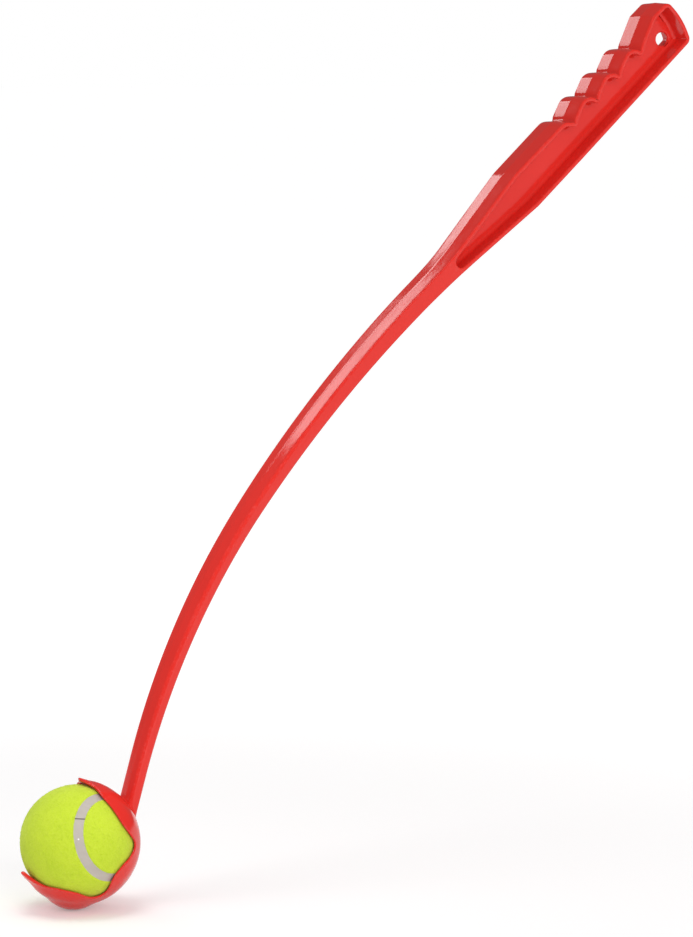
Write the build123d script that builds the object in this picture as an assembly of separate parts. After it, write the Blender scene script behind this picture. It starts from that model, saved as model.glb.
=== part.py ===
from build123d import *
import os
from math import cos, degrees, radians, sin, tan

# Dog tennis ball launcher: a moulded handle, a springy arm and a claw cup that holds a tennis ball.
# Millimetres and degrees, +Z up. The swing plane is Y = 0 and the origin is the centre of the
# hanging hole. The handle rises to +X, and the cup is low on the -X side with its mouth to -X and up.

# Ball
BALL_DIAMETER = 66.6
FELT_THICKNESS = 3.2
CORE_WALL = 3.6
GLUE_LINE = 0.5
SEAM_WIDTH = 5.6
SEAM_SUNK = 0.5
SEAM_LOBE_ANGLE = 45.0
SEAM_AXIS_TURN = -67.0
SEAM_AXIS_RISE = 15.0
SEAM_CLOSED_TURN = 200.0

# Cup
BALL_CLEARANCE = 0.6
CUP_WALL = 2.3
UPPER_LIP_ROOT = 45.0
LOWER_LIP_ROOT = -74.0
LIP_GAP = 0.3
LIP_SPAN = 120.0
UPPER_TIP_START = 71.0
LOWER_TIP_START = -138.0
TIP_REACH = 18.0
FOOT_ANGLE = -98.0
FOOT_RADIUS = 20.0
FOOT_HEIGHT = 2.8
# Half of the rim, from the tip of the upper lip to the tip of the lower lip. The first angle goes
# round the ball in the swing plane from +X towards +Z, the second is the reach to the side.
RIM_ANGLES = [
    (88, 0),
    (80, 16),
    (74, 33),
    (58, 47),
    (40, 53),
    (20, 51),
    (1, 44),
    (-14, 52),
    (-30, 60),
    (-52, 61),
    (-66, 55),
    (-76, 39),
    (-88, 35),
    (-113, 40),
    (-132, 32),
    (-142, 17),
    (-152, 7),
    (-159, 0),
]

# Arm
ARM_WIDTH_ROOT = 23.4
ARM_WIDTH_MIDDLE = 21.5
ARM_WIDTH_END = 15.6
ARM_DEPTH_ROOT = 10.4
ARM_DEPTH_MIDDLE = 7.8
ARM_DEPTH_END = 7.0
ARM_CROWN = 0.5
ARM_EDGE_ROUND = 0.9
ARM_ROOT_TILT = 39.0
ARM_UPPER_RADIUS = 775.0
ARM_UPPER_TURN = 13.7
ARM_LOWER_RADIUS = 455.0
ARM_LOWER_TURN = 21.0
NECK_LENGTH = 49.4
NECK_OFFSET = 25.8
ARM_SECTIONS = 9

# Handle
HANDLE_TILT = 41.3
HANDLE_WIDTH = 26.5
GRIP_DEPTH = 23.0
GRIP_RISE = 0.4
BUTT_DEPTH = 29.3
FLANGE = 2.4
WEB = 2.6
HANG_HOLE_DIAMETER = 8.2
HOLE_TO_BACK = 9.4
HOLE_TO_END = 12.8
HOLE_TO_BUTT = 19.8
HOLE_TO_ROOT = 205.8
ROOT_DROP = 1.0
FLARE_LENGTH = 69.0
FLARE_ROUND = 40.0
BELLY = 2.5
BELLY_ROUND = 14.0
WIDTH_TAPER_LENGTH = 110.0
FINGER_PITCH = 21.1
FINGER_COUNT = 3
FINGER_SINK = 2.65
FINGER_RISE = 0.33
FINGER_RAMP = 8.2
FINGER_RAMP_HEIGHT = 3.15
FINGER_TOP = 10.8
FINGER_HEIGHT = 3.7
FINGER_STEP = 2.1
CREASE_GAP = 2.3
SHOULDER_LENGTH = 7.5
SHOULDER_ROUND = 8.0
BUTT_RAMP = 17.7
BUTT_ROUND = 4.0
BUTT_TOP_LEAN = 1.1
BUTT_HEEL_LEAN = 3.7
BUTT_HEEL_ROUND = 2.5
RECESS_END = 7.0
OVERRUN = 5.0

# Sizes that follow from those above
BALL_RADIUS = BALL_DIAMETER / 2
FELT_INNER_RADIUS = BALL_RADIUS - FELT_THICKNESS
CORE_RADIUS = FELT_INNER_RADIUS - GLUE_LINE
CORE_INNER_RADIUS = CORE_RADIUS - CORE_WALL
CUP_INNER_RADIUS = BALL_RADIUS + BALL_CLEARANCE
CUP_OUTER_RADIUS = CUP_INNER_RADIUS + CUP_WALL
ROOT_X = -HOLE_TO_ROOT
BACK_Y = -HOLE_TO_BACK
FRONT_Y = BACK_Y + GRIP_DEPTH
BUTT_Y = BACK_Y + BUTT_DEPTH
BUTT_MIDDLE_Y = (BACK_Y + BUTT_Y) / 2
FINGER_Y = FRONT_Y - FINGER_SINK
FLARE_X = ROOT_X + FLARE_LENGTH
FIRST_FINGER_X = -HOLE_TO_BUTT - FINGER_COUNT * FINGER_PITCH
SEAM_HALF_ANGLE = degrees(SEAM_WIDTH / 2 / BALL_RADIUS)
UPPER_ARC_LENGTH = ARM_UPPER_RADIUS * radians(ARM_UPPER_TURN)
LOWER_ARC_LENGTH = ARM_LOWER_RADIUS * radians(ARM_LOWER_TURN)
ARM_LENGTH = UPPER_ARC_LENGTH + LOWER_ARC_LENGTH


def in_swing_plane(angle):
    """Unit vector in the swing plane, turned from +X towards +Z."""
    return Vector(cos(radians(angle)), 0, sin(radians(angle)))


# The handle is drawn flat, with x along it to its butt and y to its front, where the fingers lie.
HANDLE_PLANE = Plane(origin=(0, 0, 0), x_dir=in_swing_plane(HANDLE_TILT), z_dir=(0, -1, 0))


def arm_place(distance):
    """Point on the arm's middle line and the heading there, at a distance down from the handle."""
    start = HANDLE_PLANE.from_local_coords(Vector(ROOT_X, -ROOT_DROP, 0))
    heading = 180 + ARM_ROOT_TILT
    for radius, length in ((ARM_UPPER_RADIUS, UPPER_ARC_LENGTH), (ARM_LOWER_RADIUS, LOWER_ARC_LENGTH)):
        step = min(distance, length)
        turned = heading + degrees(step / radius)
        centre = start + in_swing_plane(heading + 90) * radius
        start = centre - in_swing_plane(turned + 90) * radius
        heading = turned
        distance = distance - step
    return start + in_swing_plane(heading) * distance, heading


def ball_place():
    """Ball centre, set off to the front of the arm's straight end."""
    foot, heading = arm_place(ARM_LENGTH + NECK_LENGTH)
    return foot - in_swing_plane(heading + 90) * NECK_OFFSET


BALL_CENTRE = ball_place()


def eased(root, middle, end, share):
    """Size along the arm, on a parabola through its values at the root, halfway and the end."""
    bow = 4 * middle - 3 * root - end
    return root + bow * share + (end - root - bow) * share**2


def arm_section(distance):
    """Section of the arm: flat sides and back, a crowned front and rounded edges."""
    share = min(distance / ARM_LENGTH, 1)
    half_width = eased(ARM_WIDTH_ROOT, ARM_WIDTH_MIDDLE, ARM_WIDTH_END, share) / 2
    half_depth = eased(ARM_DEPTH_ROOT, ARM_DEPTH_MIDDLE, ARM_DEPTH_END, share) / 2
    shoulder = half_depth - ARM_CROWN
    front = ThreePointArc((-half_width, shoulder), (0, half_depth), (half_width, shoulder))
    rest = Polyline(
        (half_width, shoulder),
        (half_width, -half_depth),
        (-half_width, -half_depth),
        (-half_width, shoulder),
    )
    section = make_face(front.edges() + rest.edges())
    section = fillet(section.vertices(), ARM_EDGE_ROUND)
    point, heading = arm_place(distance)
    square = heading if distance else 180 + HANDLE_TILT
    return Plane(origin=point, x_dir=(0, -1, 0), z_dir=in_swing_plane(square)) * section


def arm():
    """Springy flat arm, from the handle to the neck of the cup."""
    steps = range(ARM_SECTIONS)
    return loft([arm_section(ARM_LENGTH * step / (ARM_SECTIONS - 1)) for step in steps])


def neck():
    """Straight end of the arm, which runs into the back of the cup."""
    return loft([arm_section(ARM_LENGTH), arm_section(ARM_LENGTH + NECK_LENGTH)])


def corner_rounded(face, point, radius):
    """The face with its corner nearest to a point rounded."""
    corner = face.vertices().sort_by_distance(Vector(*point))[0]
    return fillet(corner, radius)


def handle_outline():
    """Side view of the handle: flare, plain grip, finger humps and butt."""
    root_front = (ROOT_X, -ROOT_DROP + ARM_DEPTH_ROOT / 2)
    root_back = (ROOT_X, -ROOT_DROP - ARM_DEPTH_ROOT / 2)
    flare_front = (FLARE_X, FRONT_Y)
    flare_back = (FLARE_X, BACK_Y - BELLY)
    shoulder = (FIRST_FINGER_X - SHOULDER_LENGTH, FRONT_Y + GRIP_RISE)
    crease = (FIRST_FINGER_X - CREASE_GAP, FINGER_Y - FINGER_STEP)
    edges = Polyline(root_front, flare_front, shoulder, crease, (FIRST_FINGER_X, FINGER_Y)).edges()
    for finger in range(FINGER_COUNT):
        x = FIRST_FINGER_X + finger * FINGER_PITCH
        y = FINGER_Y + finger * FINGER_RISE
        ramp = (x + FINGER_RAMP, y + FINGER_RAMP_HEIGHT)
        top = (x + FINGER_TOP, y + FINGER_HEIGHT)
        crease = (x + FINGER_PITCH - CREASE_GAP, y + FINGER_RISE - FINGER_STEP)
        edges += Line((x, y), ramp).edges()
        edges += ThreePointArc(ramp, top, crease).edges()
        edges += Line(crease, (x + FINGER_PITCH, y + FINGER_RISE)).edges()
    butt_front = (-HOLE_TO_BUTT + BUTT_RAMP, BUTT_Y)
    butt_top = (HOLE_TO_END - BUTT_TOP_LEAN, BUTT_Y)
    heel = (HOLE_TO_END - BUTT_HEEL_LEAN, BACK_Y)
    butt_foot = (-HOLE_TO_BUTT, FINGER_Y + FINGER_COUNT * FINGER_RISE)
    edges += Polyline(butt_foot, butt_front, butt_top).edges()
    edges += ThreePointArc(butt_top, (HOLE_TO_END, BUTT_MIDDLE_Y), heel).edges()
    edges += Polyline(heel, flare_back, root_back, root_front).edges()
    face = make_face(edges)
    rounds = [
        (flare_front, FLARE_ROUND),
        (flare_back, BELLY_ROUND),
        (shoulder, SHOULDER_ROUND),
        (butt_front, BUTT_ROUND),
        (butt_top, BUTT_ROUND),
        (heel, BUTT_HEEL_ROUND),
    ]
    for point, radius in rounds:
        face = corner_rounded(face, point, radius)
    return face


def handle():
    """Handle with a thin web inside a rim, open to both sides, and the hanging hole."""
    outline = handle_outline()
    body = extrude(HANDLE_PLANE * outline, HANDLE_WIDTH / 2, both=True)
    plan_plane = Plane(origin=(0, 0, 0), x_dir=HANDLE_PLANE.x_dir, z_dir=HANDLE_PLANE.y_dir)
    taper_x = ROOT_X + WIDTH_TAPER_LENGTH
    far_x = HOLE_TO_END + OVERRUN
    plan = Polyline(
        (ROOT_X, ARM_WIDTH_ROOT / 2),
        (taper_x, HANDLE_WIDTH / 2),
        (far_x, HANDLE_WIDTH / 2),
        (far_x, -HANDLE_WIDTH / 2),
        (taper_x, -HANDLE_WIDTH / 2),
        (ROOT_X, -ARM_WIDTH_ROOT / 2),
        close=True,
    )
    body = body & extrude(plan_plane * make_face(plan), BUTT_DEPTH, both=True)
    inner = offset(outline, -FLANGE)
    recess_x = ROOT_X + RECESS_END
    keep = Pos(recess_x + HOLE_TO_ROOT, 0) * Rectangle(2 * HOLE_TO_ROOT, 2 * BUTT_DEPTH)
    recess = extrude(HANDLE_PLANE.offset(WEB / 2) * (inner & keep), HANDLE_WIDTH)
    body = body - recess - mirror(recess, Plane.XZ)
    hole = extrude(HANDLE_PLANE * Circle(HANG_HOLE_DIAMETER / 2), WEB, both=True)
    return body - hole


def ball_frame():
    """Frame of the ball's seam: x through a lobe of one panel, z through the middle of the other."""
    rise = radians(SEAM_AXIS_RISE)
    turn = radians(SEAM_AXIS_TURN)
    lobe = Vector(cos(rise) * cos(turn), cos(rise) * sin(turn), sin(rise))
    closed = Vector(cos(radians(SEAM_CLOSED_TURN)), sin(radians(SEAM_CLOSED_TURN)), 0)
    closed = closed - lobe * closed.dot(lobe)
    return Plane(origin=BALL_CENTRE, x_dir=lobe, z_dir=closed)


def sphere_shell(outer, inner):
    """Hollow sphere about the origin."""
    return Sphere(outer) - Sphere(inner)


def lobe_cones(half_angle, axis_rotation):
    """Two cones, point to point at the origin, along one axis."""
    height = BALL_DIAMETER
    cone = Cone(height * tan(radians(half_angle)), 0, height)
    cone = Pos(0, 0, -height / 2) * cone
    return axis_rotation * (cone + Rot(180, 0, 0) * cone)


ACROSS_X = Rot(0, 90, 0)
ACROSS_Y = Rot(90, 0, 0)


def half_space(upward):
    """Block on one side of the seam frame's middle plane."""
    side = 2 * BALL_DIAMETER
    return Pos(0, 0, upward * side / 2) * Box(side, side, side)


def felt_panel(upward):
    """Felt panel of a ball: a strap over one half, with a round lobe at each end on the other."""
    shell = sphere_shell(BALL_RADIUS, FELT_INNER_RADIUS)
    lobe_axis, strap_axis = (ACROSS_X, ACROSS_Y) if upward > 0 else (ACROSS_Y, ACROSS_X)
    lobes = shell & half_space(upward) & lobe_cones(SEAM_LOBE_ANGLE - SEAM_HALF_ANGLE, lobe_axis)
    strap = (shell & half_space(-upward)) - lobe_cones(SEAM_LOBE_ANGLE + SEAM_HALF_ANGLE, strap_axis)
    return ball_frame() * (lobes + strap)


def ball_seam():
    """Rubber seam that fills the gap between the two felt panels, a little sunk."""
    shell = sphere_shell(BALL_RADIUS - SEAM_SUNK, FELT_INNER_RADIUS)
    bands = []
    for upward, axis in ((1, ACROSS_X), (-1, ACROSS_Y)):
        wide = lobe_cones(SEAM_LOBE_ANGLE + SEAM_HALF_ANGLE, axis)
        narrow = lobe_cones(SEAM_LOBE_ANGLE - SEAM_HALF_ANGLE, axis)
        bands.append((shell & half_space(upward) & wide) - narrow)
    return ball_frame() * (bands[0] + bands[1])


def core_half(upward):
    """Half of the ball's hollow rubber core."""
    return ball_frame() * (sphere_shell(CORE_RADIUS, CORE_INNER_RADIUS) & half_space(upward))


def rim_curve(radius):
    """Closed rim of the cup, drawn on a sphere about the ball."""
    near = [(around, -across) for around, across in RIM_ANGLES]
    far = [(around, across) for around, across in RIM_ANGLES[-2:0:-1]]
    points = []
    for around, across in near + far:
        direction = in_swing_plane(around) * cos(radians(across))
        direction = direction + Vector(0, sin(radians(across)), 0)
        points.append(BALL_CENTRE + direction * radius)
    return Spline(points, periodic=True)


def sector(start, end, inset):
    """Wedge about the ball's cross axis, between two angles, with both sides moved in."""
    reach = 3 * BALL_DIAMETER
    middle = (start + end) / 2
    apex = BALL_CENTRE + in_swing_plane(middle) * (inset / sin(radians(end - middle)))
    points = [apex]
    for angle in (start, middle, end):
        points.append(apex + in_swing_plane(angle) * reach)
    face = make_face(Polyline(*points, close=True))
    return extrude(face, BALL_DIAMETER, dir=(0, 1, 0), both=True)


def straight_tip(start, turn):
    """End of a lip, which runs straight on from the shell and so stands off the ball."""
    across = Plane(origin=BALL_CENTRE, x_dir=in_swing_plane(start), z_dir=in_swing_plane(start + turn))
    outside = Pos(CUP_OUTER_RADIUS, 0) * Rectangle(2 * CUP_OUTER_RADIUS, 2 * CUP_OUTER_RADIUS)
    ring = Circle(CUP_OUTER_RADIUS) - Circle(CUP_INNER_RADIUS)
    return extrude(across * (ring & outside), TIP_REACH)


def claw():
    """Whole claw: a shell round the ball, thicker at its foot and straight at its tips, cut to the rim."""
    foot_drop = CUP_OUTER_RADIUS + FOOT_HEIGHT - FOOT_RADIUS
    foot = Pos(in_swing_plane(FOOT_ANGLE) * foot_drop) * Sphere(FOOT_RADIUS)
    shell = Pos(BALL_CENTRE) * (Sphere(CUP_OUTER_RADIUS) + foot - Sphere(CUP_INNER_RADIUS))
    shell = shell & sector(LOWER_TIP_START, UPPER_TIP_START, 0)
    shell = shell + straight_tip(UPPER_TIP_START, 90) + straight_tip(LOWER_TIP_START, -90)
    inner_rim = rim_curve(CUP_INNER_RADIUS - OVERRUN)
    outer_rim = rim_curve(CUP_OUTER_RADIUS + OVERRUN)
    cut = Face.make_surface_from_curves(inner_rim, outer_rim)
    _, heading = arm_place(ARM_LENGTH)
    back = BALL_CENTRE + in_swing_plane(heading + 90) * (CUP_INNER_RADIUS + CUP_WALL / 2)
    pieces = shell.split(cut, keep=Keep.ALL)
    return min((solid for piece in pieces for solid in piece.solids()), key=lambda s: s.distance_to(back))


def cup(shell):
    """Middle of the claw with its side petals, on the neck of the arm."""
    middle = shell & sector(LOWER_LIP_ROOT, UPPER_LIP_ROOT, LIP_GAP)
    stem = neck() - Pos(BALL_CENTRE) * Sphere(CUP_INNER_RADIUS)
    return middle + stem


def upper_lip(shell):
    """Broad upper end of the claw, which springs away to let the ball out."""
    return shell & sector(UPPER_LIP_ROOT, UPPER_LIP_ROOT + LIP_SPAN, 0)


def lower_lip(shell):
    """Lower end of the claw, a narrow tongue that springs away to let the ball out."""
    return shell & sector(LOWER_LIP_ROOT - LIP_SPAN, LOWER_LIP_ROOT, 0)


os.makedirs("parts", exist_ok=True)
claw_shell = claw()
nodes = {
    "handle": handle(),
    "arm": arm(),
    "cup": cup(claw_shell),
    "upper_lip": upper_lip(claw_shell),
    "lower_lip": lower_lip(claw_shell),
    "ball_felt_front": felt_panel(1),
    "ball_felt_back": felt_panel(-1),
    "ball_seam": ball_seam(),
    "ball_core_front": core_half(1),
    "ball_core_back": core_half(-1),
}
for name, shape in nodes.items():
    export_step(shape, f"parts/{name}.step")
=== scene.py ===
import math

import bmesh
import bpy
import numpy as np
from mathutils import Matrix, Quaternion, Vector, noise

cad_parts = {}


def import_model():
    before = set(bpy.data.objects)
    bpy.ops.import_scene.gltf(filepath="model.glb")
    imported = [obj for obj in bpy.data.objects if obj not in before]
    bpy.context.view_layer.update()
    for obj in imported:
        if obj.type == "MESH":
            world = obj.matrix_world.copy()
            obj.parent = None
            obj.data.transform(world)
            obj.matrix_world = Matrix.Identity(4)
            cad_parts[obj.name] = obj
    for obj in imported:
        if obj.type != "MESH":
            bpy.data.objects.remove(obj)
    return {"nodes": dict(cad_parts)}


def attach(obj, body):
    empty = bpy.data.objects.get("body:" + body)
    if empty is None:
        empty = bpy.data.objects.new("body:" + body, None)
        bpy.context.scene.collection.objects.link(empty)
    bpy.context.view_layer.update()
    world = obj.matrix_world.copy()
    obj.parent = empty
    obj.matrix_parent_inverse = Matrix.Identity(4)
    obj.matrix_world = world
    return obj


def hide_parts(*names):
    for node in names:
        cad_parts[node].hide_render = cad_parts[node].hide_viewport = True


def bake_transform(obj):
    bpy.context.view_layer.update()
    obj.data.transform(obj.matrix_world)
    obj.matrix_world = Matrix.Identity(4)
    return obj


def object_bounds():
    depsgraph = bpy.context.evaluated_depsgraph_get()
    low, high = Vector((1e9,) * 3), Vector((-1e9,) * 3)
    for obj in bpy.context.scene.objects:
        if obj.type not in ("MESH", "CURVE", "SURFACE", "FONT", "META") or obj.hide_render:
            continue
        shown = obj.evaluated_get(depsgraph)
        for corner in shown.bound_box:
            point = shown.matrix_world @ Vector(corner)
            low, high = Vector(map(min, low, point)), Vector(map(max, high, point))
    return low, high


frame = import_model()
cad_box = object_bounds()

# The launcher's sizes, in millimetres and degrees, as in its solids. Meshes are made in millimetres and
# scaled to metres at the end.
MM = 0.001
ACROSS = np.array([0.0, 1.0, 0.0])

BALL_RADIUS = 33.3
SEAM_WIDTH = 5.6
SEAM_SUNK = 0.45
SEAM_LOBE_ANGLE = 45.0
SEAM_AXIS_TURN = -67.0
SEAM_AXIS_RISE = 15.0
SEAM_CLOSED_TURN = 200.0

CUP_INNER_RADIUS = 33.9
CUP_WALL = 2.3
CUP_OUTER_RADIUS = CUP_INNER_RADIUS + CUP_WALL
UPPER_LIP_ROOT = 45.0
LOWER_LIP_ROOT = -74.0
UPPER_TIP_START = 71.0
LOWER_TIP_START = -138.0
FOOT_ANGLE = -98.0
FOOT_RADIUS = 20.0
FOOT_HEIGHT = 2.8
# Places round the ball in the swing plane, and the rim's reach to the side there
RIM_ANGLES = [
    (88, 0),
    (80, 16),
    (74, 33),
    (58, 47),
    (40, 53),
    (20, 51),
    (1, 44),
    (-14, 52),
    (-30, 60),
    (-52, 61),
    (-66, 55),
    (-76, 39),
    (-88, 35),
    (-113, 40),
    (-132, 32),
    (-142, 17),
    (-152, 7),
    (-159, 0),
]

# Widths and depths at the arm's root, halfway and its end, and the radius and turn of its two arcs
ARM_WIDTHS = (23.4, 21.5, 15.6)
ARM_DEPTHS = (10.4, 7.8, 7.0)
ARM_ROOT_TILT = 39.0
ARM_ARCS = ((775.0, 13.7), (455.0, 21.0))
NECK_LENGTH = 49.4
NECK_OFFSET = 25.8
ARM_LENGTH = sum(radius * math.radians(turn) for radius, turn in ARM_ARCS)

HANDLE_TILT = 41.3
HANDLE_WIDTH = 26.5
GRIP_DEPTH = 23.0
GRIP_RISE = 0.4
BUTT_DEPTH = 29.3
FLANGE = 2.5
WEB = 2.6
HOLE_RADIUS = 4.1
HOLE_TO_BACK = 9.4
HOLE_TO_END = 12.8
HOLE_TO_BUTT = 19.8
HOLE_TO_ROOT = 205.8
ROOT_DROP = 1.0
FLARE_LENGTH = 69.0
FLARE_ROUND = 40.0
BELLY = 2.5
BELLY_ROUND = 14.0
WIDTH_TAPER_LENGTH = 110.0
FINGER_PITCH = 21.1
FINGER_COUNT = 3
FINGER_SINK = 2.65
FINGER_RISE = 0.33
FINGER_RAMP = 8.2
FINGER_RAMP_HEIGHT = 3.15
FINGER_TOP = 10.8
FINGER_HEIGHT = 3.7
FINGER_STEP = 2.1
CREASE_GAP = 2.3
SHOULDER_LENGTH = 7.5
SHOULDER_ROUND = 8.0
BUTT_RAMP = 17.7
BUTT_FRONT_ROUND = 4.5
BUTT_ROUND = 4.4
BUTT_TOP_LEAN = 1.1
BUTT_HEEL_LEAN = 3.7
RECESS_END = 7.0
RECESS_END_BULGE = 2.4
ROOT_X = -HOLE_TO_ROOT
FLARE_X = ROOT_X + FLARE_LENGTH
BACK_Y = -HOLE_TO_BACK
FRONT_Y = BACK_Y + GRIP_DEPTH
BUTT_Y = BACK_Y + BUTT_DEPTH
FINGER_Y = FRONT_Y - FINGER_SINK

# Moulded rounding of the handle and arm
EDGE_ROUND = 0.8
ARM_ROUND = 2.2
CROWN = 0.62
BACK_CROWN_SHARE = 0.6
ARM_EDGE_DROP = 0.3
RIM_ROUND = 0.7
WALL_DRAFT = 0.4
FLOOR_ROUND = 2.0
FLOOR_STEP = 0.3
PARTING_HALF_WIDTH = 0.45
PARTING_DEPTH = 0.16
NECK_ROUND = 2.2
NECK_ROUND_SHARE = 0.55
NECK_SINK = 1.3
# Steps out from the hanging hole's bore, and in from the web's face
HOLE_EDGE = ((0.75, 0.0), (0.4, 0.3), (0.0, 1.05))

# Moulded rounding of the claw
CUP_RIM_WALL = 1.3
CUP_RIM_TAPER = 10.0
TIP_WALL = 2.1
UPPER_TIP_TAPER = 10.0
LOWER_TIP_TAPER = 12.0
FOOT_BLEND = 0.35
PAD_HEIGHT = 0.35
PAD_SPREAD_RADIANS = 0.3
RIM_WEAR = 1.4

# Felt and seam of the ball. Each row of lumps has how many fit in the ball's radius, and their height.
FELT_SINK = 0.12
FELT_SHOULDER = 1.5
FELT_SHOULDER_DROP = 0.85
FELT_TUCK = 1.3
FELT_TUCK_SLOPE = 0.9
FELT_OVERLAP = 0.25
FELT_LUMPS = ((26, 0.09), (90, 0.07))
FIBRE_COUNT = 5200
FIBRE_SEED = 7
FIBRE_MARGIN = 0.3
FIBRE_SCATTER = 0.012
FIBRE_LENGTHS = (0.7, 1.5)
FIBRE_ROOT = 0.35
FIBRE_BEND = (0.45, 0.30)
FIBRE_TIP = (0.95, 0.38)
FIBRE_HALF_WIDTHS = (0.06, 0.05)
SEAM_TUCK = 0.9
SEAM_HOLLOW = 0.18
# Directions from the ball's middle to a short dark line across the seam's strip and to a small pale spot on
# it
TICK_WAY = np.array([-0.312, -0.751, 0.582])
TICK_HALF_WIDTH = 0.34
TICK_REACH = 6.0
SPECK_WAY = np.array([-0.393, -0.882, 0.258])
SPECK_RADIUS = 0.8

# Spacing and counts of mesh points
FRONT_RUN = 3.0
END_RUN = 1.5
END_GAP = 0.8
BACK_RUN = 4.0
FINE_RUN = 0.1
ROOT_REACH = 12.0
ROOT_RUN = 0.2
LEAST_REACH = 0.2
FINGER_ARC_STEPS = 14
END_ARC_STEPS = 24
BUTT_FRONT_POINTS = 12
BUTT_BACK_POINTS = 6
CORNER_STEPS = 12
ARM_STEPS = 60
GROOVE_STEPS = 6
ARM_ROUND_START = 8
ARM_ROUND_STEPS = 26
EDGE_DROP_STEPS = 12
NECK_STEPS = 14
SMOOTH_PASSES = 10
SMOOTH_REACH = 3
RECESS_END_STEPS = 9
HOLE_SIDES = 56
CLAW_ROWS = 150
CLAW_COLUMNS = 53
TIP_ROWS = 10
TIP_ROWS_REACH = 0.5
RIM_STEPS = 900
DENSE_STEPS = 4001
BALL_GRID = 104
SEAM_STEPS = 480
SEAM_COLUMNS = 15


def polar(angle):
    """Unit vector in the swing plane, turned from +X towards +Z."""
    return np.array([math.cos(math.radians(angle)), 0.0, math.sin(math.radians(angle))])


def unit(vector):
    return vector / np.linalg.norm(vector)


HANDLE_X = polar(HANDLE_TILT)
HANDLE_Y = polar(HANDLE_TILT + 90)


def arm_place(distance):
    """Point on the arm's middle line and the heading there, at a distance down from the handle."""
    place = ROOT_X * HANDLE_X - ROOT_DROP * HANDLE_Y
    heading = 180 + ARM_ROOT_TILT
    for radius, turn in ARM_ARCS:
        step = min(distance, radius * math.radians(turn))
        turned = heading + math.degrees(step / radius)
        place = place + radius * (polar(heading + 90) - polar(turned + 90))
        heading = turned
        distance = distance - step
    return place + distance * polar(heading), heading


def arm_normal(heading):
    """Unit vector to the arm's front."""
    return np.array([math.sin(math.radians(heading)), 0, -math.cos(math.radians(heading))])


def ball_place():
    foot, heading = arm_place(ARM_LENGTH + NECK_LENGTH)
    return foot - NECK_OFFSET * polar(heading + 90)


BALL = ball_place()


def eased(values, share):
    """Size along the arm, on a parabola through its values at the root, halfway and the end."""
    root, middle, end = values
    bow = 4 * middle - 3 * root - end
    return root + bow * share + (end - root - bow) * share**2


def make_object(name, points, faces):
    """Smooth mesh object from points in millimetres."""
    mesh = bpy.data.meshes.new(name)
    mesh.from_pydata([tuple(p) for p in np.asarray(points) * MM], [], faces)
    mesh.polygons.foreach_set("use_smooth", [True] * len(mesh.polygons))
    mesh.update()
    obj = bpy.data.objects.new(name, mesh)
    bpy.context.scene.collection.objects.link(obj)
    return obj


def bridged(outer, inner):
    """Faces between two closed rings of points."""
    count = len(outer)
    return [(outer[j], outer[(j + 1) % count], inner[(j + 1) % count], inner[j]) for j in range(count)]


def mark_wear(obj, values):
    """Keeps how worn each point is, for the plastic's material."""
    layer = obj.data.attributes.new("edge", "FLOAT", "POINT")
    layer.data.foreach_set("value", values)


# Materials. A pair of colours is the dark and the light of a mottle.

RED = ((0.74, 0.027, 0.019), (0.82, 0.034, 0.025))
RED_WORN = (0.80, 0.10, 0.09)
FELT = ((0.50, 0.68, 0.022), (0.62, 0.78, 0.034))
FELT_TIPS = (0.70, 0.82, 0.10)
FELT_SHEEN = (0.85, 0.95, 0.35)
SEAM_GREY = ((0.45, 0.40, 0.36), (0.58, 0.53, 0.475))
TICK_DARK = (0.12, 0.10, 0.09)
SPECK_PALE = (0.95, 0.93, 0.90)
CORE_DARK = ((0.020, 0.019, 0.019), (0.045, 0.042, 0.040))


def noise_node(nodes, links, coords, scale, detail=3.0, rough=0.5):
    """Noise texture over a set of coordinates."""
    node = nodes.new("ShaderNodeTexNoise")
    node.inputs["Scale"].default_value = scale
    node.inputs["Detail"].default_value = detail
    node.inputs["Roughness"].default_value = rough
    links.new(coords, node.inputs["Vector"])
    return node.outputs["Fac"]


def spread(nodes, links, value, low, high, to_low, to_high):
    """Maps one span of a value to another."""
    node = nodes.new("ShaderNodeMapRange")
    node.inputs["From Min"].default_value = low
    node.inputs["From Max"].default_value = high
    node.inputs["To Min"].default_value = to_low
    node.inputs["To Max"].default_value = to_high
    links.new(value, node.inputs["Value"])
    return node.outputs["Result"]


def mixed(nodes, links, share, first, second):
    """Mix of two colours by a share. A colour is a tuple or a socket."""
    node = nodes.new("ShaderNodeMix")
    node.data_type = "RGBA"
    links.new(share, node.inputs["Factor"])
    for key, colour in (("A", first), ("B", second)):
        socket = [s for s in node.inputs if s.name == key and s.type == "RGBA"][0]
        if isinstance(colour, tuple):
            socket.default_value = (*colour, 1.0)
        else:
            links.new(colour, socket)
    return [s for s in node.outputs if s.type == "RGBA"][0]


def maths(nodes, links, operation, *values):
    """Math node on sockets or numbers."""
    node = nodes.new("ShaderNodeMath")
    node.operation = operation
    for slot, value in enumerate(values):
        if isinstance(value, (int, float)):
            node.inputs[slot].default_value = value
        else:
            links.new(value, node.inputs[slot])
    return node.outputs[0]


def vector_maths(nodes, links, operation, coords, fixed):
    """Number from a Vector Math node on coordinates and a fixed vector."""
    node = nodes.new("ShaderNodeVectorMath")
    node.operation = operation
    links.new(coords, node.inputs[0])
    node.inputs[1].default_value = tuple(fixed)
    return node.outputs["Value"]


def bump(nodes, links, height, strength, distance, normal=None):
    """Bump from a height socket, on top of an earlier normal."""
    node = nodes.new("ShaderNodeBump")
    node.inputs["Strength"].default_value = strength
    node.inputs["Distance"].default_value = distance
    links.new(height, node.inputs["Height"])
    if normal is not None:
        links.new(normal, node.inputs["Normal"])
    return node.outputs["Normal"]


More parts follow.
